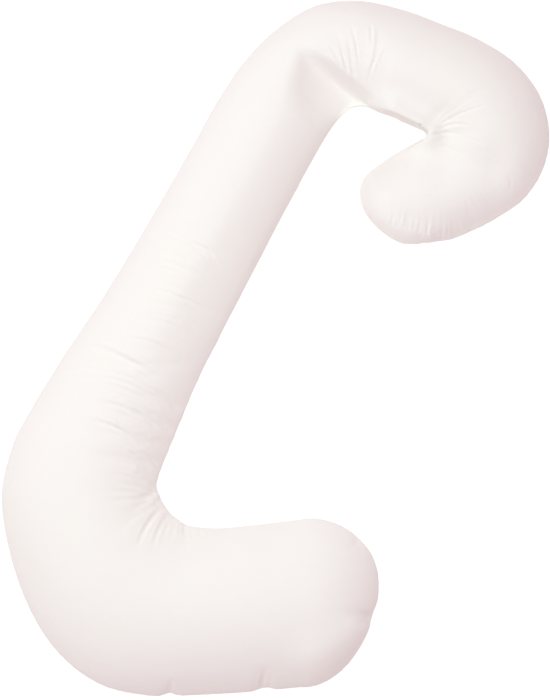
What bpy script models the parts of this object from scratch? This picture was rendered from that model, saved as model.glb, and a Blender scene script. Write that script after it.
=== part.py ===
"""A hooked body pillow: one filled cotton form, lying on its back on a flat surface.

Metres, +Z up. The straight trunk runs along Y, the foot turns towards +X at its low end and the
hook at its high end. The origin is under the middle of the pillow, where it rests.
"""
from collections import namedtuple
from math import cos, exp, hypot, pi, sin

import bmesh
import bpy
from mathutils import Vector

# Driving sizes: the whole pillow along Y and along X
LENGTH = 1.500
WIDTH = 0.810

# The pillow is two like panels sewn together all round its edge. SECTIONS goes from the foot to the
# tip of the hook. Each row has the two ends of a line across the pillow, on the outer and on the
# inner edge of its bend, the height of its crown, and how many strips follow before the next row.
Section = namedtuple("Section", "outer_x outer_y inner_x inner_y crown strips")
SECTIONS = [
    Section(0.336, -0.554, 0.189, -0.246, 0.186, 6),
    Section(0.257, -0.610, 0.099, -0.314, 0.190, 6),
    Section(0.173, -0.665, 0.028, -0.363, 0.192, 5),
    Section(0.082, -0.719, -0.023, -0.383, 0.193, 5),
    Section(-0.010, -0.747, -0.059, -0.379, 0.194, 5),
    Section(-0.108, -0.736, -0.089, -0.364, 0.194, 5),
    Section(-0.212, -0.684, -0.110, -0.346, 0.192, 5),
    Section(-0.303, -0.605, -0.114, -0.337, 0.190, 5),
    Section(-0.367, -0.523, -0.117, -0.325, 0.188, 5),
    Section(-0.399, -0.425, -0.122, -0.292, 0.184, 6),
    Section(-0.404, -0.345, -0.132, -0.220, 0.180, 7),
    Section(-0.401, -0.228, -0.144, -0.130, 0.176, 8),
    Section(-0.391, -0.067, -0.152, 0.001, 0.172, 8),
    Section(-0.388, 0.110, -0.158, 0.139, 0.168, 7),
    Section(-0.388, 0.290, -0.164, 0.288, 0.166, 6),
    Section(-0.389, 0.400, -0.166, 0.393, 0.166, 5),
    Section(-0.382, 0.480, -0.165, 0.446, 0.167, 5),
    Section(-0.360, 0.563, -0.157, 0.490, 0.168, 5),
    Section(-0.317, 0.642, -0.145, 0.508, 0.170, 5),
    Section(-0.252, 0.692, -0.127, 0.519, 0.172, 6),
    Section(-0.166, 0.722, -0.105, 0.520, 0.173, 6),
    Section(-0.082, 0.737, -0.070, 0.526, 0.174, 5),
    Section(0.004, 0.748, -0.027, 0.530, 0.174, 5),
    Section(0.087, 0.743, -0.006, 0.533, 0.173, 5),
    Section(0.162, 0.712, 0.002, 0.531, 0.172, 5),
    Section(0.218, 0.653, 0.004, 0.526, 0.171, 5),
    Section(0.240, 0.594, 0.000, 0.517, 0.170, 5),
    Section(0.239, 0.523, -0.008, 0.505, 0.168, 6),
    Section(0.209, 0.455, -0.019, 0.487, 0.164, 6),
    Section(0.172, 0.398, -0.031, 0.467, 0.160, 6),
    Section(0.138, 0.355, -0.041, 0.448, 0.157, 4),
    Section(0.108, 0.341, -0.057, 0.412, 0.155, 0),
]

# Each end closes in a rounded cap. A lower bulge makes its side fuller.
End = namedtuple("End", "x y outer_bulge inner_bulge strips")
FOOT_END = End(0.379, -0.312, 1.14, 0.86, 11)
HOOK_END = End(-0.010, 0.329, 1.12, 0.90, 9)

# Shape of the filled section
SEAM_SHARE = 0.44  # height of the edge seam, as a share of the crown
FLAT_SHARE = 0.50  # half width that lies flat on the surface, as a share of the half width
ARCH_POWER = 1.35  # power of the crown's arch: 1 is an ellipse, 2 falls away like a lens
SEAM_PULL = 0.004  # how far the seam draws the edge in
PULL_LIMIT = 0.25  # most that it draws in, as a share of the width between two edges
TOP_STEPS = 18  # strips over the crown, from seam to seam
SIDE_STEPS = 4  # strips from the seam down to the flat underside, each side
UNDER_STEPS = 4  # strips across the flat underside

COTTON_COLOUR = (0.87, 0.85, 0.83, 1.0)
COTTON_ROUGHNESS = 0.85

# Creases in the top panel: a trough from one point to another, deepest at the first. A crease
# sinks mostly downwards, and a pinch in the edge goes in from the side as well.
Crease = namedtuple("Crease", "from_x from_y to_x to_y width depth")
CREASE_SIDE_SHARE = 0.25
PINCH_SIDE_SHARE = 1.0
CREASE_LOW = 0.26  # height where creases begin, as a share of the highest crown
CREASE_HIGH = 0.51  # height from which they have their full depth
CREASES = [
    # the fan at the shoulder, gathered at the inner corner of the hook
    Crease(-0.173, 0.523, -0.251, 0.545, 0.013, 0.012),
    Crease(-0.170, 0.528, -0.261, 0.575, 0.009, 0.008),
    Crease(-0.163, 0.533, -0.256, 0.615, 0.009, 0.009),
    Crease(-0.155, 0.535, -0.233, 0.643, 0.009, 0.009),
    Crease(-0.147, 0.538, -0.210, 0.658, 0.009, 0.008),
    Crease(-0.137, 0.543, -0.180, 0.668, 0.009, 0.008),
    Crease(-0.125, 0.548, -0.145, 0.643, 0.010, 0.007),
    # the inner corner where the tip folds back against the hook
    Crease(0.001, 0.525, 0.045, 0.555, 0.012, 0.014),
    Crease(0.001, 0.528, 0.050, 0.609, 0.010, 0.010),
    Crease(-0.003, 0.533, 0.017, 0.613, 0.010, 0.008),
    Crease(0.015, 0.543, 0.090, 0.571, 0.010, 0.007),
    # puckers along the lower edge of the tip
    Crease(0.035, 0.325, 0.025, 0.375, 0.007, 0.006),
    Crease(0.067, 0.325, 0.055, 0.388, 0.008, 0.007),
    Crease(0.100, 0.338, 0.083, 0.395, 0.008, 0.007),
    Crease(0.130, 0.353, 0.107, 0.405, 0.008, 0.007),
    Crease(0.157, 0.378, 0.127, 0.423, 0.008, 0.007),
    Crease(0.183, 0.411, 0.145, 0.443, 0.008, 0.006),
    Crease(0.211, 0.453, 0.167, 0.473, 0.008, 0.005),
    # slack across the trunk
    Crease(-0.230, 0.098, -0.315, 0.121, 0.010, 0.006),
    Crease(-0.190, 0.008, -0.267, -0.005, 0.010, 0.006),
    Crease(-0.195, -0.117, -0.305, -0.125, 0.010, 0.006),
    Crease(-0.227, -0.157, -0.385, -0.177, 0.011, 0.008),
    # slack gathered above the heel
    Crease(-0.155, -0.187, -0.305, -0.219, 0.011, 0.008),
    Crease(-0.143, -0.232, -0.325, -0.265, 0.011, 0.009),
    Crease(-0.135, -0.269, -0.305, -0.315, 0.011, 0.008),
    Crease(-0.129, -0.302, -0.265, -0.357, 0.010, 0.008),
    # the inner corner of the heel
    Crease(-0.109, -0.347, -0.130, -0.447, 0.010, 0.008),
    Crease(-0.085, -0.363, -0.087, -0.472, 0.010, 0.008),
    Crease(-0.059, -0.377, -0.051, -0.447, 0.009, 0.008),
    Crease(-0.023, -0.381, -0.001, -0.425, 0.009, 0.007),
]
PINCHES = [
    Crease(0.395, -0.361, 0.330, -0.372, 0.012, 0.013),
    Crease(0.285, -0.605, 0.251, -0.545, 0.010, 0.014),
    Crease(0.123, -0.709, 0.105, -0.665, 0.010, 0.010),
    Crease(0.299, -0.233, 0.281, -0.269, 0.009, 0.005),
]


def curve_through(rows):
    """Rows in between the given ones, on a smooth curve through them, as many as each row's strips."""
    middles = [((r.outer_x + r.inner_x) / 2, (r.outer_y + r.inner_y) / 2) for r in rows]
    spans = [hypot(b[0] - a[0], b[1] - a[1]) for a, b in zip(middles, middles[1:])]
    values = [tuple(r)[:5] for r in rows]
    slopes = [[(b - a) / gap for a, b in zip(values[i], values[i + 1])] for i, gap in enumerate(spans)]
    tangents = [slopes[0]]
    for i in range(1, len(rows) - 1):
        before, after = spans[i - 1], spans[i]
        blend = [(a * after + b * before) / (before + after) for a, b in zip(slopes[i - 1], slopes[i])]
        tangents.append(blend)
    tangents.append(slopes[-1])

    filled = []
    for i, gap in enumerate(spans):
        for k in range(rows[i].strips):
            t = k / rows[i].strips
            start, start_way = 2 * t**3 - 3 * t**2 + 1, (t**3 - 2 * t**2 + t) * gap
            end, end_way = 3 * t**2 - 2 * t**3, (t**3 - t**2) * gap
            parts = zip(values[i], tangents[i], values[i + 1], tangents[i + 1])
            filled.append(tuple(a * start + m * start_way + b * end + n * end_way for a, m, b, n in parts))
    filled.append(values[-1])
    return filled


def across_steps():
    """Places round a section from the outer seam: (across from -1 to 1, arch from 0 to 1, side)."""
    widest = cos(pi / TOP_STEPS)
    turns = [pi * k / TOP_STEPS for k in range(TOP_STEPS + 1)]
    top = [(max(-1.0, min(1.0, -cos(turn) / widest)), sin(turn), "top") for turn in turns]
    side = [FLAT_SHARE + (1 - FLAT_SHARE) * cos(pi / 2 * k / SIDE_STEPS) for k in range(1, SIDE_STEPS + 1)]
    flat = [FLAT_SHARE * (1 - 2 * k / UNDER_STEPS) for k in range(1, UNDER_STEPS)]
    under = side + flat + [-across for across in reversed(side)]
    return top + [(across, 0.0, "under") for across in under]


def point(row, across, arch, side, cap=0.0, ends=None):
    """A point of the section on this row. cap turns from 0 at a full section to pi/2 at an end."""
    outer_x, outer_y, inner_x, inner_y, crown = row
    seam_height = SEAM_SHARE * crown
    outer_x, outer_y, inner_x, inner_y = ends or (outer_x, outer_y, inner_x, inner_y)
    share = (across + 1) / 2
    x, y = outer_x + (inner_x - outer_x) * share, outer_y + (inner_y - outer_y) * share
    if side == "top":
        return x, y, seam_height + (crown - seam_height) * (arch * cos(cap)) ** ARCH_POWER
    reach = hypot(across * cos(cap), sin(cap))
    rise = max(0.0, (reach - FLAT_SHARE) / (1 - FLAT_SHARE))
    return x, y, seam_height * (1 - max(0.0, 1 - rise**2) ** 0.5)


def cap_rows(row, end):
    """Rows that close an end, from the full section to the end's point: (ends, cap) for each."""
    outer_x, outer_y, inner_x, inner_y = row[:4]
    along_x, along_y = inner_x - outer_x, inner_y - outer_y
    share = ((end.x - outer_x) * along_x + (end.y - outer_y) * along_y) / hypot(along_x, along_y) ** 2
    foot_x, foot_y = outer_x + share * along_x, outer_y + share * along_y
    rows = []
    for k in range(1, end.strips):
        cap = pi / 2 * k / end.strips
        base_x, base_y = foot_x + (end.x - foot_x) * sin(cap), foot_y + (end.y - foot_y) * sin(cap)
        outer, inner = cos(cap) ** end.outer_bulge, cos(cap) ** end.inner_bulge
        ends = (
            base_x + (outer_x - foot_x) * outer,
            base_y + (outer_y - foot_y) * outer,
            base_x + (inner_x - foot_x) * inner,
            base_y + (inner_y - foot_y) * inner,
        )
        rows.append((ends, cap))
    return rows


def pillow_mesh():
    """The loft: a ring of points for each row, and a single point at each end."""
    steps = across_steps()
    rows = curve_through(SECTIONS)
    rings = [[point(rows[0], *step, cap, ends) for step in steps] for ends, cap in cap_rows(rows[0], FOOT_END)]
    rings.reverse()
    rings += [[point(row, *step) for step in steps] for row in rows]
    rings += [[point(rows[-1], *step, cap, ends) for step in steps] for ends, cap in cap_rows(rows[-1], HOOK_END)]

    body = bmesh.new()
    rings = [[body.verts.new(place) for place in ring] for ring in rings]
    foot_tip = body.verts.new((FOOT_END.x, FOOT_END.y, SEAM_SHARE * SECTIONS[0].crown))
    hook_tip = body.verts.new((HOOK_END.x, HOOK_END.y, SEAM_SHARE * SECTIONS[-1].crown))
    around = len(steps)
    for ring, following in zip(rings, rings[1:]):
        for k in range(around):
            n = (k + 1) % around
            body.faces.new((ring[k], ring[n], following[n], following[k]))
    for k in range(around):
        n = (k + 1) % around
        body.faces.new((foot_tip, rings[0][n], rings[0][k]))
        body.faces.new((hook_tip, rings[-1][k], rings[-1][n]))
    bmesh.ops.recalc_face_normals(body, faces=body.faces)
    return body, rings


def pull_in_seam(rings):
    """The seam is the first point of each ring, and the one across from it."""
    for ring in rings:
        outer, inner = ring[0], ring[TOP_STEPS]
        across = inner.co - outer.co
        pull = across.normalized() * min(SEAM_PULL, across.length * PULL_LIMIT)
        outer.co += pull
        inner.co -= pull


def press_creases(body, creases, side_share):
    """Sinks each crease into the top panel. Where two meet, the deeper one counts."""
    body.normal_update()
    crown = max(section.crown for section in SECTIONS)
    moves = []
    for vert in body.verts:
        sink = 0.0
        for crease in creases:
            run_x, run_y = crease.to_x - crease.from_x, crease.to_y - crease.from_y
            out_x, out_y = vert.co.x - crease.from_x, vert.co.y - crease.from_y
            share = (out_x * run_x + out_y * run_y) / (run_x**2 + run_y**2)
            held = min(1.0, max(0.0, share))
            off = hypot(out_x - held * run_x, out_y - held * run_y)
            sink = max(sink, crease.depth * (1 - held**2) * exp(-((off / crease.width) ** 2)))
        above = (vert.co.z / crown - CREASE_LOW) / (CREASE_HIGH - CREASE_LOW)
        way = Vector((vert.normal.x * side_share, vert.normal.y * side_share, vert.normal.z))
        moves.append(way * sink * min(1.0, max(0.0, above)))
    for vert, move in zip(body.verts, moves):
        vert.co -= move


def fit_to_size(body):
    """Brings the outline to the driving sizes, with its middle over the origin."""
    for axis, size in ((0, WIDTH), (1, LENGTH)):
        low = min(vert.co[axis] for vert in body.verts)
        high = max(vert.co[axis] for vert in body.verts)
        for vert in body.verts:
            vert.co[axis] = (vert.co[axis] - (low + high) / 2) * size / (high - low)


def cotton():
    """Off-white woven cotton."""
    material = bpy.data.materials.new("cotton_fabric")
    material.use_nodes = True
    shader = material.node_tree.nodes["Principled BSDF"]
    shader.inputs["Base Color"].default_value = COTTON_COLOUR
    shader.inputs["Roughness"].default_value = COTTON_ROUGHNESS
    shader.inputs["Metallic"].default_value = 0.0
    return material


def build_pillow(collection):
    body, rings = pillow_mesh()
    pull_in_seam(rings)
    press_creases(body, CREASES, CREASE_SIDE_SHARE)
    press_creases(body, PINCHES, PINCH_SIDE_SHARE)
    fit_to_size(body)
    mesh = bpy.data.meshes.new("pillow")
    body.to_mesh(mesh)
    body.free()
    mesh.shade_smooth()
    mesh.materials.append(cotton())
    collection.objects.link(bpy.data.objects.new("pillow", mesh))


for old in list(bpy.data.objects):
    bpy.data.objects.remove(old)
body_pillow = bpy.data.collections.new("body_pillow")
bpy.context.scene.collection.children.link(body_pillow)
build_pillow(body_pillow)
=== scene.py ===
"""Looks of the hooked body pillow: two panels of off-white cotton, sewn at the edge and filled.

Metres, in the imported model's frame: the trunk runs along Y, the hook is at +Y, the foot at -Y,
both turn towards +X, and the pillow lies on its back on z = 0.
"""

from collections import namedtuple
from math import exp, log, pi, radians

import bmesh
import bpy
import numpy as np
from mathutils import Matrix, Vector, kdtree, noise


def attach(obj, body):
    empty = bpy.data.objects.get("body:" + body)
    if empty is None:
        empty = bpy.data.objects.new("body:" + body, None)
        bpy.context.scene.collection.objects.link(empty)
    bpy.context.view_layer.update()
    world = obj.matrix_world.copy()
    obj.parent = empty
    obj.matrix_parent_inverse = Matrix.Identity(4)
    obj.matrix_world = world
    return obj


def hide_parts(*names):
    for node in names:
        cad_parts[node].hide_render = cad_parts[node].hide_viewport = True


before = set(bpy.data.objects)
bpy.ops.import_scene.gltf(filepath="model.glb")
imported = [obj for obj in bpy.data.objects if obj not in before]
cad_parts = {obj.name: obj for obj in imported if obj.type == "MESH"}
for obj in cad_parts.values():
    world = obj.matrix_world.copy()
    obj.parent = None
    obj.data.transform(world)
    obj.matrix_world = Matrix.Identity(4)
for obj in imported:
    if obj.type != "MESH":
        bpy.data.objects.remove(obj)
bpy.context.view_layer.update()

# Cloth
WELD = 0.0001  # corners of the solid closer than this are one
VOXEL = 0.005  # size of the faces that the cloth is simulated with
SMOOTH_STEPS = 8
SKIN_LIFT = 0.0012  # makes up for what smoothing takes off the rounded sides
SEAM_EVEN = 0.020  # the seam's height is evened out over this distance
SIM_FRAMES = 20
PRESSURE = 4.0
CLOTH_MASS = 0.25
STRETCH_STIFF, SHEAR_STIFF, BEND_STIFF = 12, 5, 0.08
MOVE_CAP = 0.008  # the most that the simulation may move a point
BROAD_STEPS, BROAD_KEPT = 120, 0.25  # its broad swelling is evened out and only this share kept
HOLD_FULL, HOLD_REACH = 1.6, 0.016  # held firmly near the seam, not at all further off

# Slack: a stretch of the pillow is cut this much longer than the space it lies in, mostly along
# the inner side of its bend.
Slack = namedtuple("Slack", "low_y high_y extra")
SLACKS = [
    Slack(-0.380, -0.150, 0.018),
    Slack(-0.180, 0.180, 0.014),
]
SLACK_FROM_X, SLACK_FULL_X = -0.370, -0.230

# Edges that are fuller or leaner than the rest: along a line from one place to another, the panel
# keeps the height of its seam and of its crown, and rises between them with this power. Under 1 it
# stands full right up to the seam, over 1 it slopes down sooner.
Fullness = namedtuple("Fullness", "start end radius seam crown power")
EDGES = [
    # the inner side of the head end, as far as the inner corner of the hook
    Fullness((-0.075, 0.538), (0.008, 0.535), 0.036, 0.077, 0.172, 0.12),
    # the lower side of the tip
    Fullness((0.000, 0.338), (0.100, 0.345), 0.040, 0.069, 0.157, 0.50),
    # the lower side of the foot's end
    Fullness((0.330, -0.470), (0.375, -0.400), 0.050, 0.082, 0.186, 0.60),
    # the outer side of the hook, where it turns back
    Fullness((0.186, 0.431), (0.243, 0.551), 0.055, 0.072, 0.165, 1.15),
]

# Swells: broad rises and hollows in the top panel, along a line from one place to another.
Swell = namedtuple("Swell", "start end radius height")
SWELLS = [
    # the hollow that runs out from the inner corner of the hook
    Swell((0.078, 0.505), (0.145, 0.530), 0.052, -0.020),
    # where the shoulder is gathered
    Swell((-0.240, 0.498), (-0.222, 0.560), 0.075, -0.010),
]

# The trunk falls away to its inner side in a flat slope, from a soft ridge that runs along the
# trunk. At the shoulder the ridge leans outwards.
RIDGE_X, RIDGE_Z, RIDGE_Z_Y = -0.243, 0.163, 0.300  # where it is, and its height at this Y
RIDGE_DROP = 0.009  # how much lower it gets for each metre towards the hook
RIDGE_SOFT = 0.014  # how far the panel and the slope are apart in height where they blend
SLOPE = 0.66
SHOULDER_Y, SHOULDER_SOFT, SHOULDER_LEAN, SHOULDER_CLIMB = 0.430, 0.050, 0.66, 0.10
SLOPE_SHARE, SHOULDER_SHARE = 0.72, 0.95
SLOPE_LOW_Y, SLOPE_FULL_Y = -0.250, 0.100
SLOPE_END_X = -0.125  # nothing beyond this is part of the trunk
SLOPE_EDGE = 0.004  # the side of the panel stays full this far in from the seam

# The head end laps over that slope at the shoulder, along this line from the inner corner.
LAP_CORNER, LAP_END = (-0.134, 0.530), (-0.285, 0.553)
LAP_WIDTH = 0.036

# Places on the edge where the outline is nudged sideways to its smooth run round the tip
Nudge = namedtuple("Nudge", "place move radius")
NUDGES = [
    Nudge((0.139, 0.357), (-0.0025, 0.0043), 0.020),
    Nudge((0.090, 0.326), (-0.0012, 0.0021), 0.013),
]

# A crease runs from its start through its middle to its end. It is deepest at a share of its
# length, and one with a depth below zero is a ridge.
Crease = namedtuple("Crease", "start middle end width depth deepest")
CREASES = [
    # gathered at the shoulder
    Crease((-0.169, 0.528), (-0.216, 0.565), (-0.258, 0.590), 0.0030, 0.0022, 0.50),
    Crease((-0.170, 0.532), (-0.212, 0.577), (-0.251, 0.617), 0.0028, 0.0026, 0.50),
    Crease((-0.167, 0.540), (-0.200, 0.584), (-0.231, 0.619), 0.0028, 0.0026, 0.50),
    Crease((-0.179, 0.577), (-0.205, 0.613), (-0.235, 0.642), 0.0028, 0.0026, 0.50),
    Crease((-0.161, 0.546), (-0.195, 0.594), (-0.220, 0.623), 0.0028, -0.0018, 0.50),
    Crease((-0.172, 0.616), (-0.187, 0.642), (-0.204, 0.667), 0.0028, 0.0022, 0.50),
    Crease((-0.161, 0.577), (-0.171, 0.623), (-0.193, 0.664), 0.0030, -0.0018, 0.50),
    Crease((-0.149, 0.556), (-0.155, 0.596), (-0.161, 0.637), 0.0030, 0.0022, 0.50),
    Crease((-0.147, 0.577), (-0.153, 0.611), (-0.156, 0.641), 0.0030, -0.0013, 0.50),
    Crease((-0.153, 0.551), (-0.177, 0.597), (-0.200, 0.639), 0.0050, 0.0010, 0.50),
    Crease((-0.184, 0.533), (-0.216, 0.549), (-0.245, 0.563), 0.0026, 0.0012, 0.50),
    # out from the inner corner of the hook
    Crease((0.009, 0.547), (0.027, 0.595), (0.063, 0.662), 0.0026, 0.0013, 0.60),
    Crease((0.014, 0.546), (0.039, 0.590), (0.081, 0.638), 0.0026, 0.0014, 0.60),
    Crease((0.017, 0.541), (0.043, 0.572), (0.076, 0.586), 0.0030, 0.0020, 0.50),
    Crease((0.014, 0.527), (0.037, 0.550), (0.070, 0.562), 0.0030, 0.0014, 0.50),
    Crease((0.016, 0.538), (0.033, 0.538), (0.056, 0.533), 0.0026, 0.0012, 0.50),
    Crease((0.014, 0.571), (0.029, 0.612), (0.051, 0.641), 0.0026, 0.0009, 0.50),
    Crease((0.020, 0.607), (0.043, 0.641), (0.062, 0.668), 0.0026, 0.0008, 0.50),
    Crease((0.061, 0.549), (0.088, 0.563), (0.116, 0.565), 0.0026, 0.0010, 0.50),
    Crease((0.037, 0.522), (0.065, 0.529), (0.098, 0.529), 0.0030, 0.0009, 0.50),
    # short creases across the trunk
    Crease((-0.294, 0.104), (-0.259, 0.111), (-0.226, 0.093), 0.0036, 0.0018, 0.50),
    Crease((-0.274, -0.004), (-0.233, 0.006), (-0.194, 0.006), 0.0036, 0.0018, 0.50),
    Crease((-0.296, -0.053), (-0.248, -0.033), (-0.185, -0.045), 0.0036, 0.0014, 0.60),
    # the long ridge with a crease on each side of it, and the sweeps below it
    Crease((-0.380, -0.167), (-0.301, -0.149), (-0.203, -0.150), 0.0042, -0.0024, 0.45),
    Crease((-0.376, -0.178), (-0.297, -0.160), (-0.200, -0.161), 0.0040, 0.0008, 0.50),
    Crease((-0.325, -0.123), (-0.249, -0.094), (-0.171, -0.109), 0.0040, -0.0018, 0.50),
    Crease((-0.393, -0.246), (-0.273, -0.188), (-0.137, -0.193), 0.0045, 0.0016, 0.60),
    Crease((-0.299, -0.296), (-0.230, -0.279), (-0.128, -0.317), 0.0045, -0.0022, 0.45),
    Crease((-0.241, -0.228), (-0.190, -0.228), (-0.137, -0.248), 0.0040, 0.0018, 0.60),
    Crease((-0.243, -0.328), (-0.178, -0.313), (-0.106, -0.341), 0.0045, 0.0022, 0.65),
    Crease((-0.216, -0.416), (-0.154, -0.387), (-0.091, -0.376), 0.0045, 0.0016, 0.65),
    # round the inner corner of the heel
    Crease((-0.099, -0.351), (-0.128, -0.384), (-0.180, -0.421), 0.0045, 0.0016, 0.25),
    Crease((-0.087, -0.363), (-0.103, -0.399), (-0.132, -0.449), 0.0045, 0.0016, 0.25),
    Crease((-0.076, -0.370), (-0.086, -0.413), (-0.083, -0.469), 0.0042, 0.0026, 0.55),
    Crease((-0.061, -0.375), (-0.063, -0.413), (-0.055, -0.455), 0.0040, 0.0026, 0.50),
    Crease((-0.044, -0.377), (-0.038, -0.404), (-0.032, -0.430), 0.0036, 0.0016, 0.35),
    Crease((-0.024, -0.377), (-0.017, -0.396), (-0.003, -0.413), 0.0040, 0.0020, 0.45),
    Crease((-0.001, -0.373), (0.011, -0.384), (0.027, -0.396), 0.0036, 0.0012, 0.35),
    # pinches in the edge of the foot
    Crease((0.276, -0.596), (0.266, -0.574), (0.257, -0.543), 0.0045, 0.0036, 0.25),
    Crease((0.122, -0.697), (0.113, -0.677), (0.109, -0.654), 0.0045, 0.0018, 0.25),
    Crease((0.387, -0.359), (0.372, -0.362), (0.352, -0.372), 0.0060, 0.0016, 0.25),
    Crease((0.296, -0.238), (0.290, -0.252), (0.282, -0.266), 0.0060, 0.0010, 0.30),
]

# A fan is a row of uneven creases, spread from a first one to a last one.
Fan = namedtuple("Fan", "first last count width depth deepest")
FANS = [
    # along the tip's edge, and on up the hook
    Fan(
        ((-0.004, 0.322), (-0.009, 0.345), (-0.013, 0.369)),
        ((0.148, 0.360), (0.133, 0.390), (0.109, 0.425)),
        17, 0.0032, 0.0018, 0.22,
    ),
    Fan(
        ((0.149, 0.376), (0.132, 0.401), (0.111, 0.426)),
        ((0.239, 0.565), (0.201, 0.566), (0.165, 0.564)),
        9, 0.0038, 0.0009, 0.30,
    ),
    # slack across the middle of the trunk, then more of it towards the heel
    Fan(
        ((-0.382, 0.096), (-0.308, 0.129), (-0.211, 0.111)),
        ((-0.334, -0.108), (-0.261, -0.057), (-0.159, -0.062)),
        14, 0.0042, 0.0014, 0.60,
    ),
    Fan(
        ((-0.400, -0.233), (-0.271, -0.176), (-0.137, -0.184)),
        ((-0.298, -0.313), (-0.211, -0.288), (-0.100, -0.328)),
        14, 0.0040, 0.0019, 0.62,
    ),
    Fan(
        ((-0.270, -0.330), (-0.185, -0.308), (-0.094, -0.343)),
        ((-0.187, -0.425), (-0.142, -0.392), (-0.089, -0.387)),
        11, 0.0038, 0.0018, 0.70,
    ),
    # short and steep, down the inner edge above the heel
    Fan(
        ((-0.224, -0.178), (-0.181, -0.181), (-0.129, -0.206)),
        ((-0.191, -0.330), (-0.145, -0.331), (-0.100, -0.361)),
        15, 0.0034, 0.0019, 0.60,
    ),
]
CREASE_SIDE_SHARE = 0.35  # a crease sinks mostly downwards, so that the outline stays smooth
UNDER_SHARE = 0.6  # the creases are shallower on the underside
PANEL_FULL = 0.020  # a panel's creases and swells have their full size this far above its seam
REST_CLEAR, REST_FADE = 0.004, 0.010  # they stop where the pillow rests
LIP_HEIGHT, LIP_AT, LIP_WIDTH = 0.45, 1.8, 0.8  # the low lips beside a crease, for its own size
SLACK_REACH, SLACK_DEPTH = 0.020, 0.006  # fine crumpling goes this far beside a crease this deep
FAN_SEED = 11
FAN_UNEVEN = 0.30  # how far out of line the creases of a fan are, for the gap between them
FAN_BEGINS, FAN_STOPS = (0, 0.18), (0.72, 1.0)
FAN_WIDTHS, FAN_DEPTHS = (0.8, 1.3), (0.35, 1.1)
CURVE_POINTS = 13

# Gathers: short puckers square to the edge seam, deeper near these places
Gather = namedtuple("Gather", "x y radius depth reach")
GATHERS = [
    Gather(0.080, 0.345, 0.150, 0.0015, 0.040),
    Gather(0.215, 0.480, 0.130, 0.0014, 0.032),
    Gather(-0.150, 0.520, 0.060, 0.0010, 0.025),
    Gather(-0.105, -0.340, 0.120, 0.0014, 0.028),
    Gather(0.250, -0.600, 0.240, 0.0011, 0.026),
    Gather(0.380, -0.330, 0.150, 0.0009, 0.022),
]
GATHER_DEPTH, GATHER_REACH = 0.0004, 0.014
GATHER_PITCH, GATHER_FINER = 0.010, 2.3  # how far apart, and how much finer the second layer is
GATHER_VALLEY, GATHER_RIDGE = 0.22, 0.35
GATHER_FAR = 0.090  # none go further than this
LENGTH_PITCH, LENGTH_LEAST, LENGTH_MORE = 0.030, 0.6, 0.8  # their lengths change along the seam
LENGTH_SHIFT = Vector((7, 3, 1))
SEAM_WIDTH, SEAM_DEPTH = 0.0035, 0.0016

# Fine relief of the cloth, with heights in metres. Real threads lie 0.3 mm apart. They are drawn
# coarser, or they would not show at all.
THREAD_PITCH, WEAVE_HEIGHT, SIDE_SLANT = 0.0016, 0.00003, 0.7
# SEAM_SHADE sets how far the seam's groove is mixed towards a darker colour: painted shade.
SEAM_LINE, SEAM_SHADE = 0.0010, 0.6  # the line's width, and how far it goes to its darker colour
DRIFT_GRAINS = (4, 4, 4)  # broad drift of the white, for each metre

# Uneven layers of it, with their number of grains a metre along X, Y and Z
Relief = namedtuple("Relief", "grains detail kind height only_slack")
RELIEFS = [
    Relief((420, 30, 60), 2, "FBM", 0.00005, False),  # thicker threads along Y
    Relief((30, 420, 60), 2, "FBM", 0.00005, False),  # thicker threads along X
    Relief((28, 40, 34), 3, "FBM", 0.0010, False),  # soft unevenness of the filling
    Relief((40, 75, 60), 3, "RIDGED_MULTIFRACTAL", 0.0020, True),  # fine crumpling
]

# The camera looks straight down. The pillow's trunk leans 30 degrees to the right in the picture.
CAMERA_TURN = radians(30)
CAMERA_AIM = (-0.041, 0.006)
CAMERA_HEIGHT = 7.88
LENS_MM = 200

# Light: a big lamp from the upper left of the picture, and an even soft light all round
KEY_SPOT, KEY_SIZE, KEY_WATTS = (-1.4, 0.2, 4.8), 2.4, 155
KEY_TINT, ROUND_TINT, ROUND_STRENGTH = (0.76, 1.0, 0.957), (1.0, 0.73, 0.777), 0.529
FLOOR_SIZE, FLOOR_GAP = 12, 0.0005


def linear(hex_colour):
    """An sRGB hex colour as linear red, green, blue and alpha."""
    values = [int(hex_colour[i : i + 2], 16) / 255 for i in (1, 3, 5)]
    return [v / 12.92 if v <= 0.04045 else ((v + 0.055) / 1.055) ** 2.4 for v in values] + [1.0]


def show(name, mesh):
    piece = bpy.data.objects.new(name, mesh)
    bpy.context.scene.collection.objects.link(piece)
    return piece


def finished_mesh(piece):
    """The piece's mesh with its modifiers applied."""
    evaluated = piece.evaluated_get(bpy.context.evaluated_depsgraph_get())
    return bpy.data.meshes.new_from_object(evaluated)


def read(mesh, name):
    """The places or the normals of a mesh's points, one row each."""
    found = np.empty(len(mesh.vertices) * 3, np.float32)
    mesh.vertices.foreach_get(name, found)
    return found.reshape(-1, 3).astype(float)


def set_places(mesh, points):
    mesh.vertices.foreach_set("co", points.astype(np.float32).ravel())
    mesh.update()


def start_form():
    """An even, smooth skin over the pillow's solid."""
    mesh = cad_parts["pillow"].data.copy()
    cage = bmesh.new()
    cage.from_mesh(mesh)
    bmesh.ops.remove_doubles(cage, verts=cage.verts, dist=WELD)
    cage.to_mesh(mesh)
    cage.free()
    piece = show("cotton_shell", mesh)
    skin = piece.modifiers.new("skin", "REMESH")
    skin.mode = "VOXEL"
    skin.voxel_size = VOXEL
    soften = piece.modifiers.new("soften", "SMOOTH")
    soften.factor = 0.5
    soften.iterations = SMOOTH_STEPS
    piece.data = finished_mesh(piece)
    piece.modifiers.clear()
    bpy.data.meshes.remove(mesh)
    points = read(piece.data, "co") + read(piece.data, "normal") * SKIN_LIFT
    points[:, 2] = np.maximum(points[:, 2], 0)
    set_places(piece.data, points)
    return piece


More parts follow.
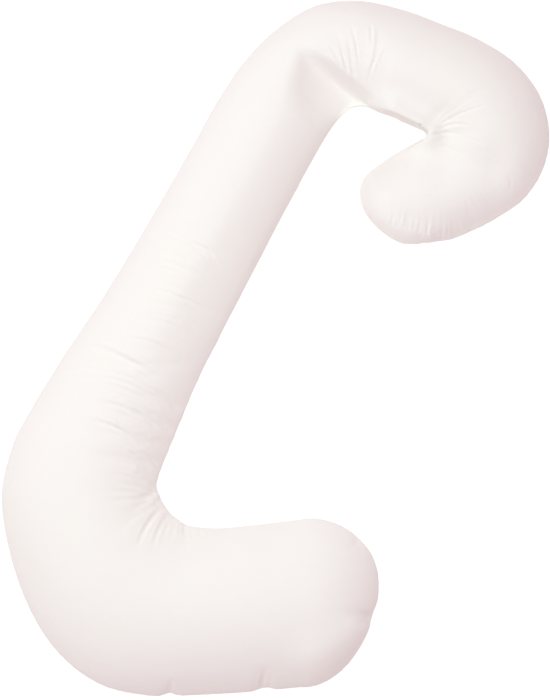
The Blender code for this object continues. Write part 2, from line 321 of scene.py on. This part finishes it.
def seam_places(mesh):
    """Where the two panels meet: the widest line round the sides, evened out."""
    points, facing = read(mesh, "co"), read(mesh, "normal")[:, 2]
    ends = np.empty(len(mesh.edges) * 2, np.int32)
    mesh.edges.foreach_get("vertices", ends)
    a, b = ends.reshape(-1, 2).T
    across = facing[a] * facing[b] < 0
    a, b = a[across], b[across]
    share = (facing[a] / (facing[a] - facing[b]))[:, None]
    found = points[a] + (points[b] - points[a]) * share
    tree = tree_of(found)
    even = [
        np.mean([near[0] for near in tree.find_range(place, SEAM_EVEN)], axis=0) for place in found
    ]
    found[:, 2] = np.array(even)[:, 2]
    return found


def tree_of(points):
    tree = kdtree.KDTree(len(points))
    for index, place in enumerate(points):
        tree.insert(place, index)
    tree.balance()
    return tree


def eased(share):
    """From 0 to 1 with a smooth start and end."""
    share = np.clip(share, 0, 1)
    return share * share * (3 - 2 * share)


def cut_longer(points):
    """The places that the cloth was cut to: longer than it lies, wherever it is slack."""
    cut = points.copy()
    share = np.clip((points[:, 0] - SLACK_FROM_X) / (SLACK_FULL_X - SLACK_FROM_X), 0, 1)
    for slack in SLACKS:
        passed = eased((points[:, 1] - slack.low_y) / (slack.high_y - slack.low_y))
        cut[:, 1] += slack.extra * passed * share
    return cut


def smoothed(values, a, b, steps):
    """Values on the points of a mesh, each step evened out with the neighbours over the edges."""
    count = np.bincount(a, minlength=len(values)) + np.bincount(b, minlength=len(values))
    for _ in range(steps):
        total = [
            np.bincount(a, column[b], len(values)) + np.bincount(b, column[a], len(values))
            for column in values.T
        ]
        values = (values + np.array(total).T / count[:, None]) / 2
    return values


def simulate(piece, seam):
    """Fills the cloth, held at its seam, and keeps mostly the creases that it makes."""
    before = read(piece.data, "co")
    hold = piece.vertex_groups.new(name="seam")
    tree = tree_of(seam)
    for index, place in enumerate(before):
        weight = HOLD_FULL - tree.find(place)[2] / HOLD_REACH
        if weight > 0:
            hold.add([index], min(weight, 1.0), "REPLACE")
    piece.shape_key_add(name="lies")
    cut = piece.shape_key_add(name="cut")
    cut.data.foreach_set("co", cut_longer(before).astype(np.float32).ravel())
    cut.value = 0.0
    cloth = piece.modifiers.new("cloth", "CLOTH")
    settings = cloth.settings
    settings.quality = 3
    settings.mass = CLOTH_MASS
    settings.tension_stiffness = settings.compression_stiffness = STRETCH_STIFF
    settings.shear_stiffness = SHEAR_STIFF
    settings.bending_stiffness = BEND_STIFF
    settings.use_pressure = True
    settings.uniform_pressure_force = PRESSURE
    settings.effector_weights.gravity = 0
    settings.rest_shape_key = cut
    settings.vertex_group_mass = hold.name
    cloth.point_cache.frame_start, cloth.point_cache.frame_end = 1, SIM_FRAMES
    for step in range(1, SIM_FRAMES + 1):
        bpy.context.scene.frame_set(step)
    after = read(finished_mesh(piece), "co")
    piece.modifiers.clear()
    piece.shape_key_clear()
    piece.vertex_groups.clear()
    bpy.context.scene.frame_set(1)
    moved = after - before
    ends = np.empty(len(piece.data.edges) * 2, np.int32)
    piece.data.edges.foreach_get("vertices", ends)
    broad = smoothed(moved, *ends.reshape(-1, 2).T, BROAD_STEPS)
    moved -= broad * (1 - BROAD_KEPT)
    length = np.linalg.norm(moved, axis=1)
    moved *= np.minimum(1, MOVE_CAP / np.maximum(length, 1e-9))[:, None]
    set_places(piece.data, before + moved)


def refine(piece):
    finer = piece.modifiers.new("finer", "SUBSURF")
    finer.levels = finer.render_levels = 1
    piece.data = finished_mesh(piece)
    piece.modifiers.clear()


def curve(start, middle, end):
    """Points on a smooth curve through three places."""
    start, middle, end = (np.array(place) for place in (start, middle, end))
    pull = 2 * middle - (start + end) / 2
    t = np.linspace(0, 1, CURVE_POINTS)[:, None]
    return start * (1 - t) ** 2 + pull * 2 * t * (1 - t) + end * t**2


def fan_creases():
    """The single creases of every fan, each a little out of line, longer or shallower."""
    chance = np.random.default_rng(FAN_SEED)
    creases = []
    for fan in FANS:
        first, last = np.array(fan.first), np.array(fan.last)
        gap = np.linalg.norm(last - first, axis=1).max() / (fan.count - 1)
        for number in range(fan.count):
            share = number / (fan.count - 1)
            places = first + (last - first) * share + chance.normal(0, FAN_UNEVEN * gap, (3, 2))
            run = curve(*places)
            begin, stop = chance.uniform(*FAN_BEGINS), chance.uniform(*FAN_STOPS)
            at = [begin, (begin + stop) / 2, stop]
            steps = np.linspace(0, 1, CURVE_POINTS)
            places = [(np.interp(t, steps, run[:, 0]), np.interp(t, steps, run[:, 1])) for t in at]
            width = fan.width * chance.uniform(*FAN_WIDTHS)
            depth = fan.depth * chance.uniform(*FAN_DEPTHS)
            creases.append(Crease(*places, width, depth, fan.deepest))
    return creases


def crease_depths(points, creases):
    """How far each point sinks, by its place seen from above, and how slack the cloth is there."""
    sunk, slack = np.zeros(len(points)), np.zeros(len(points))
    for crease in creases:
        run = curve(crease.start, crease.middle, crease.end)
        margin = 2 * SLACK_REACH
        low, high = run.min(0) - margin, run.max(0) + margin
        near = np.flatnonzero(np.all((points[:, :2] > low) & (points[:, :2] < high), 1))
        spot = points[near, None, :2] - run[None, :-1]
        step = np.diff(run, axis=0)
        share = np.clip((spot * step).sum(2) / (step**2).sum(1), 0, 1)
        away = np.linalg.norm(spot - step * share[..., None], axis=2)
        best = away.argmin(1)
        rows = np.arange(len(near))
        away = away[rows, best]
        along = (best + share[rows, best]) / (CURVE_POINTS - 1)
        fade = np.sin(np.pi * np.clip(along, 0, 1) ** (log(0.5) / log(crease.deepest)))
        crumpled = abs(crease.depth) / SLACK_DEPTH * fade
        slack[near] += crumpled * np.exp(-((away / SLACK_REACH) ** 2))
        away = away / crease.width
        lip = LIP_HEIGHT * np.exp(-(((away - LIP_AT) / LIP_WIDTH) ** 2))
        sunk[near] += crease.depth * fade * (np.exp(-(away**2)) - lip)
    return sunk, slack


def gather_depths(points, seam):
    """How far each point near the seam sinks, and its distance from the seam, minus below it."""
    flat = seam.copy()
    flat[:, 2] = 0
    tree = tree_of(flat)
    sunk = np.zeros(len(points))
    distance = np.empty(len(points))
    rise = np.empty(len(points))
    for index, place in enumerate(points):
        near, number, inset = tree.find((place[0], place[1], 0))
        rise[index] = place[2] - seam[number, 2]
        distance[index] = (inset**2 + rise[index] ** 2) ** 0.5
        if distance[index] > GATHER_FAR:
            continue
        depth, reach = GATHER_DEPTH, GATHER_REACH
        for gather in GATHERS:
            off = ((near[0] - gather.x) ** 2 + (near[1] - gather.y) ** 2) / gather.radius**2
            if off < 1:
                depth += gather.depth * (1 - off) ** 2
                reach = max(reach, gather.reach * (1 - off) ** 0.5)
        pitch = near / GATHER_PITCH
        value = noise.noise(pitch) + 0.5 * noise.noise(pitch * GATHER_FINER)
        longer = abs(noise.noise(near / LENGTH_PITCH + LENGTH_SHIFT))
        length = reach * (LENGTH_LEAST + LENGTH_MORE * longer)
        valley = exp(-((value / GATHER_VALLEY) ** 2)) - GATHER_RIDGE
        sunk[index] = depth * valley * exp(-((distance[index] / length) ** 2))
    sunk += SEAM_DEPTH * np.exp(-((distance / SEAM_WIDTH) ** 2))
    return sunk, distance, rise


def off_line(points, start, end):
    """How far each point is from a line, seen from above, and how far it is to the left of it."""
    start, step = np.array(start), np.array(end) - np.array(start)
    spot = points[:, :2] - start
    share = np.clip(spot @ step / (step @ step), 0, 1)
    away = np.linalg.norm(spot - share[:, None] * step, axis=1)
    return away, (step[0] * spot[:, 1] - step[1] * spot[:, 0]) / np.linalg.norm(step)


def swell_heights(points):
    """How far each point is raised by the fuller edges and by the broad rises and hollows."""
    raised = np.zeros(len(points))
    for full in EDGES:
        share = np.clip((points[:, 2] - full.seam) / (full.crown - full.seam), 0, 1)
        gain = (share**full.power - share) * (full.crown - full.seam)
        away, _ = off_line(points, full.start, full.end)
        raised += gain * np.exp(-((away / full.radius) ** 2))
    for swell in SWELLS:
        away, _ = off_line(points, swell.start, swell.end)
        raised += swell.height * np.exp(-((away / swell.radius) ** 2))
    return raised


def inner_slope(points, inset):
    """How far each point sinks to lie in the flat slope of the trunk's inner side."""
    x, y, z = points.T
    shoulder = np.maximum(y - SHOULDER_Y, 0)
    ridge = RIDGE_Z - RIDGE_DROP * (y - RIDGE_Z_Y) + SHOULDER_CLIMB * shoulder
    flat = ridge - SLOPE * (x - RIDGE_X + SHOULDER_LEAN * shoulder)
    blend = np.clip((z - flat) / RIDGE_SOFT / 2 + 0.5, 0, 1)
    sunk = (flat - z) * blend - RIDGE_SOFT * blend * (1 - blend)
    _, over_lap = off_line(points, LAP_END, LAP_CORNER)
    share = eased(0.5 - over_lap / LAP_WIDTH) * eased(inset / SLOPE_EDGE) * (x < SLOPE_END_X)
    share *= eased((y - SLOPE_LOW_Y) / (SLOPE_FULL_Y - SLOPE_LOW_Y))
    return sunk * share * np.interp(shoulder, (0, SHOULDER_SOFT), (SLOPE_SHARE, SHOULDER_SHARE))


def crease(piece, seam):
    """Presses the creases, the gathers and the seam into both panels."""
    points = read(piece.data, "co")
    gathers, distance, rise = gather_depths(points, seam)
    inset = np.sqrt(np.maximum(distance**2 - rise**2, 0))
    points[:, 2] += inner_slope(points, inset) * (rise > 0)
    points[:, 2] += swell_heights(points) * np.clip(rise / PANEL_FULL, 0, 1)
    for nudge in NUDGES:
        away = np.linalg.norm(points[:, :2] - nudge.place, axis=1)
        points[:, :2] += np.exp(-((away / nudge.radius) ** 2))[:, None] * nudge.move
    set_places(piece.data, points)
    facing = read(piece.data, "normal") * (CREASE_SIDE_SHARE, CREASE_SIDE_SHARE, 1)
    share = np.clip(np.abs(rise) / PANEL_FULL, 0, 1) * np.where(rise > 0, 1.0, UNDER_SHARE)
    share *= np.clip((points[:, 2] - REST_CLEAR) / REST_FADE, 0, 1)
    creases, slack = crease_depths(points, CREASES + fan_creases())
    points -= facing * (creases * share + gathers)[:, None]
    points[:, 2] = np.maximum(points[:, 2], 0)
    set_places(piece.data, points)
    piece.data.shade_smooth()
    for name, values in (
        ("from_seam", np.where(rise > 0, distance, -distance)),
        ("slack", np.minimum(slack, 1)),
    ):
        stored = piece.data.attributes.new(name, "FLOAT", "POINT")
        stored.data.foreach_set("value", values.astype(np.float32))


def add(tree, kind, settings=None, inputs=None, output=0):
    """Adds a node with its settings. An input is a value, or another node's output to link."""
    node = tree.nodes.new(kind)
    for name, value in (settings or {}).items():
        setattr(node, name, value)
    for name, value in (inputs or {}).items():
        if isinstance(value, bpy.types.NodeSocket):
            tree.links.new(value, node.inputs[name])
        else:
            node.inputs[name].default_value = value
    return node.outputs[output] if node.outputs else None


def woven_cotton():
    """Bleached plain-woven cotton, washed soft: matt, warm white, uneven threads, fine creases."""
    material = bpy.data.materials.new("woven_cotton")
    material.use_nodes = True
    tree = material.node_tree
    tree.nodes.clear()
    times, plus = {"operation": "MULTIPLY"}, {"operation": "ADD"}
    place = add(tree, "ShaderNodeTexCoord", output="Object")
    slack = add(tree, "ShaderNodeAttribute", {"attribute_name": "slack"}, output="Fac")
    seam = add(tree, "ShaderNodeAttribute", {"attribute_name": "from_seam"}, output="Fac")

    # The panels are cut flat, so the threads run along X and Y, and slant down the sides.
    x, y, z = add(tree, "ShaderNodeSeparateXYZ", inputs={0: place}).node.outputs
    slant = add(tree, "ShaderNodeMath", times, {0: z, 1: SIDE_SLANT})
    threads = []
    for axis in (x, y):
        along = add(tree, "ShaderNodeMath", plus, {0: axis, 1: slant})
        along = add(tree, "ShaderNodeMath", times, {0: along, 1: 2 * pi / THREAD_PITCH})
        threads.append(add(tree, "ShaderNodeMath", {"operation": "SINE"}, {0: along}))
    weave = add(tree, "ShaderNodeMath", times, {0: threads[0], 1: threads[1]})
    height = add(tree, "ShaderNodeMath", times, {0: weave, 1: WEAVE_HEIGHT})
    for layer in RELIEFS:
        fitted = add(tree, "ShaderNodeMapping", None, {"Vector": place, "Scale": layer.grains})
        settings = {"noise_type": layer.kind}
        inputs = {"Vector": fitted, "Scale": 1.0, "Detail": layer.detail}
        grain = add(tree, "ShaderNodeTexNoise", settings, inputs)
        grain = add(tree, "ShaderNodeMath", times, {0: grain, 1: layer.height})
        if layer.only_slack:
            grain = add(tree, "ShaderNodeMath", times, {0: grain, 1: slack})
        height = add(tree, "ShaderNodeMath", plus, {0: height, 1: grain})

    # The seam is a thin dark valley between the panels.
    away = add(tree, "ShaderNodeMath", {"operation": "ABSOLUTE"}, {0: seam})
    away = add(tree, "ShaderNodeMath", times, {0: away, 1: -1 / SEAM_LINE})
    within = {"operation": "ADD", "use_clamp": True}
    valley = add(tree, "ShaderNodeMath", within, {0: away, 1: 1.0})
    sunk = add(tree, "ShaderNodeMath", times, {0: valley, 1: -SEAM_LINE})
    height = add(tree, "ShaderNodeMath", plus, {0: height, 1: sunk})
    bump = add(tree, "ShaderNodeBump", None, {"Height": height, "Strength": 1.0, "Distance": 1.0})

    # The bleached white drifts a little, and painted shade darkens the seam's groove.
    fitted = add(tree, "ShaderNodeMapping", None, {"Vector": place, "Scale": DRIFT_GRAINS})
    drift = add(tree, "ShaderNodeTexNoise", None, {"Vector": fitted, "Scale": 1.0})
    whites = {0: drift, 6: linear("#FAF6F1"), 7: linear("#F9F3F2")}
    colour = add(tree, "ShaderNodeMix", {"data_type": "RGBA"}, whites, output=2)
    shade = add(tree, "ShaderNodeMath", times, {0: valley, 1: SEAM_SHADE})
    seam_shade_colours = {0: shade, 6: colour, 7: linear("#DDD2CC")}
    colour = add(tree, "ShaderNodeMix", {"data_type": "RGBA"}, seam_shade_colours, output=2)
    surface = {
        "Base Color": colour,
        "Roughness": 0.9,
        "Sheen Weight": 0.1,
        "Sheen Roughness": 0.5,
        "Normal": bump,
    }
    cloth = add(tree, "ShaderNodeBsdfPrincipled", None, surface)
    add(tree, "ShaderNodeOutputMaterial", None, {"Surface": cloth})
    return material


def floor_material():
    """A matt white table, lit from below so that it stays white round the pillow."""
    material = bpy.data.materials.new("white_table")
    material.use_nodes = True
    shader = material.node_tree.nodes["Principled BSDF"]
    shader.inputs["Base Color"].default_value = linear("#666666")
    shader.inputs["Roughness"].default_value = 0.9
    shader.inputs["Specular IOR Level"].default_value = 0.0
    shader.inputs["Emission Color"].default_value = (1.0, 1.0, 1.0, 1.0)
    shader.inputs["Emission Strength"].default_value = 1.0
    return material


def area_light(name, spot, size, power, colour):
    light = bpy.data.lights.new(name, "AREA")
    light.shape = "DISK"
    light.size = size
    light.energy = power
    light.color = colour
    lamp = bpy.data.objects.new(name, light)
    lamp.location = spot
    lamp.rotation_euler = (-Vector(spot)).to_track_quat("-Z", "Y").to_euler()
    bpy.context.scene.collection.objects.link(lamp)


def studio():
    bpy.ops.mesh.primitive_plane_add(size=FLOOR_SIZE, location=(0, 0, -FLOOR_GAP))
    floor = bpy.context.object
    floor.name = "floor"
    floor.data.materials.append(floor_material())
    area_light("key", KEY_SPOT, KEY_SIZE, KEY_WATTS, KEY_TINT)
    world = bpy.data.worlds.new("studio")
    bpy.context.scene.world = world
    world.use_nodes = True
    backdrop = world.node_tree.nodes["Background"]
    backdrop.inputs["Color"].default_value = (*ROUND_TINT, 1.0)
    backdrop.inputs["Strength"].default_value = ROUND_STRENGTH
    camera = bpy.data.cameras.new("camera")
    camera.lens = LENS_MM
    viewer = bpy.data.objects.new("camera", camera)
    viewer.location = (*CAMERA_AIM, CAMERA_HEIGHT)
    viewer.rotation_euler = (0, 0, CAMERA_TURN)
    bpy.context.scene.collection.objects.link(viewer)
    bpy.context.scene.camera = viewer
    bpy.context.scene.view_settings.view_transform = "Standard"


studio()
pillow = start_form()
seam = seam_places(pillow.data)
simulate(pillow, seam)
refine(pillow)
crease(pillow, seam)
pillow.data.materials.clear()
pillow.data.materials.append(woven_cotton())
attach(pillow, "root")
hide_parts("pillow")
